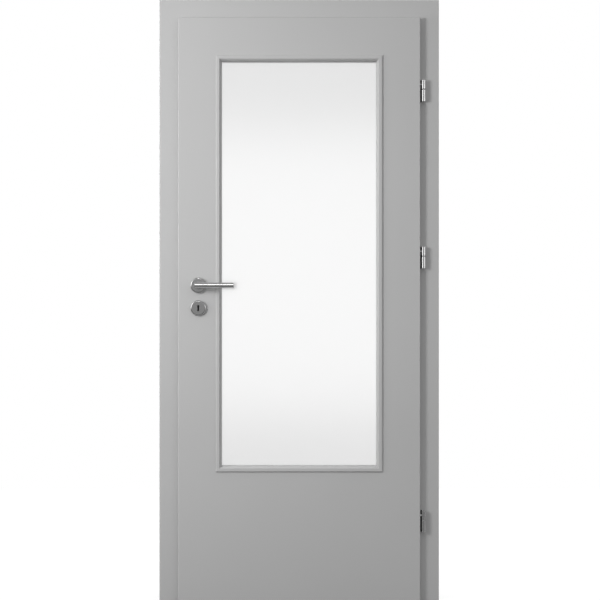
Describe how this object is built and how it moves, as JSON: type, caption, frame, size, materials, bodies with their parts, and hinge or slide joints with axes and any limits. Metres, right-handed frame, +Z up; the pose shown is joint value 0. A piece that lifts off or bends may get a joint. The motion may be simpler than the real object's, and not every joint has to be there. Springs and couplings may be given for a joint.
{
  "type": "glazed interior door with frame",
  "caption": "Rebated interior door leaf with a tall frosted pane in mitred beads, barrel hinges and a round-bar lever, hung in a casing frame that wraps a wall.",
  "frame": {"origin": "on the wall face of the hinge-side lining, at floor level, in the middle of the wall's thickness", "axes": "+X from the hinge-side lining into the wall, +Y through the doorway away from the side the leaf opens to, +Z up"},
  "size_m": [0.978, 0.2185, 2.104],
  "materials": {
    "frame_foil": "satin",
    "leaf_foil": "satin",
    "frosted_glass": "matte",
    "handle_steel": "satin",
    "hinge_nickel": "polished",
    "lock_steel": "satin",
    "washer_plastic": "matte",
    "seal_rubber": "matte"
  },
  "bodies": {
    "frame": {"hinge_lining": "frame_foil", "lock_lining": "frame_foil", "head_lining": "frame_foil", "hinge_front_casing": "frame_foil", "lock_front_casing": "frame_foil", "head_front_casing": "frame_foil", "hinge_back_casing": "frame_foil", "lock_back_casing": "frame_foil", "head_back_casing": "frame_foil", "hinge_seal": "seal_rubber", "lock_seal": "seal_rubber", "head_seal": "seal_rubber", "strike_plate": "lock_steel", "top_hinge_frame_part": "hinge_nickel", "middle_hinge_frame_part": "hinge_nickel", "bottom_hinge_frame_part": "hinge_nickel", "hinge_washers": "washer_plastic"},
    "leaf": {"hinge_stile": "leaf_foil", "lock_stile": "leaf_foil", "top_rail": "leaf_foil", "bottom_panel": "leaf_foil", "front_skin": "leaf_foil", "back_skin": "leaf_foil", "front_lock_bead": "leaf_foil", "front_hinge_bead": "leaf_foil", "front_top_bead": "leaf_foil", "front_bottom_bead": "leaf_foil", "back_lock_bead": "leaf_foil", "back_hinge_bead": "leaf_foil", "back_top_bead": "leaf_foil", "back_bottom_bead": "leaf_foil", "glass_pane": "frosted_glass", "front_lever_rose": "handle_steel", "back_lever_rose": "handle_steel", "front_key_rose": "handle_steel", "back_key_rose": "handle_steel", "mortise_lock": "lock_steel", "latch_bolt": "lock_steel", "dead_bolt": "lock_steel", "top_hinge_leaf_part": "hinge_nickel", "middle_hinge_leaf_part": "hinge_nickel", "bottom_hinge_leaf_part": "hinge_nickel"},
    "handle": {"front_lever": "handle_steel", "back_lever": "handle_steel", "spindle": "lock_steel"}
  },
  "joints": [
    {"name": "leaf_swing", "type": "hinge", "parent": "frame", "child": "leaf", "pos_m": [0.012, -0.0875, 0], "axis": [0, 0, 1], "range_deg": [0, 175]},
    {"name": "lever_turn", "type": "hinge", "parent": "leaf", "child": "handle", "pos_m": [-0.773, -0.075, 1.104], "axis": [0, 1, 0], "range_deg": [0, 40], "stiffness_Nm_per_rad": 1.5, "springref_deg": -28.65}
  ]
}
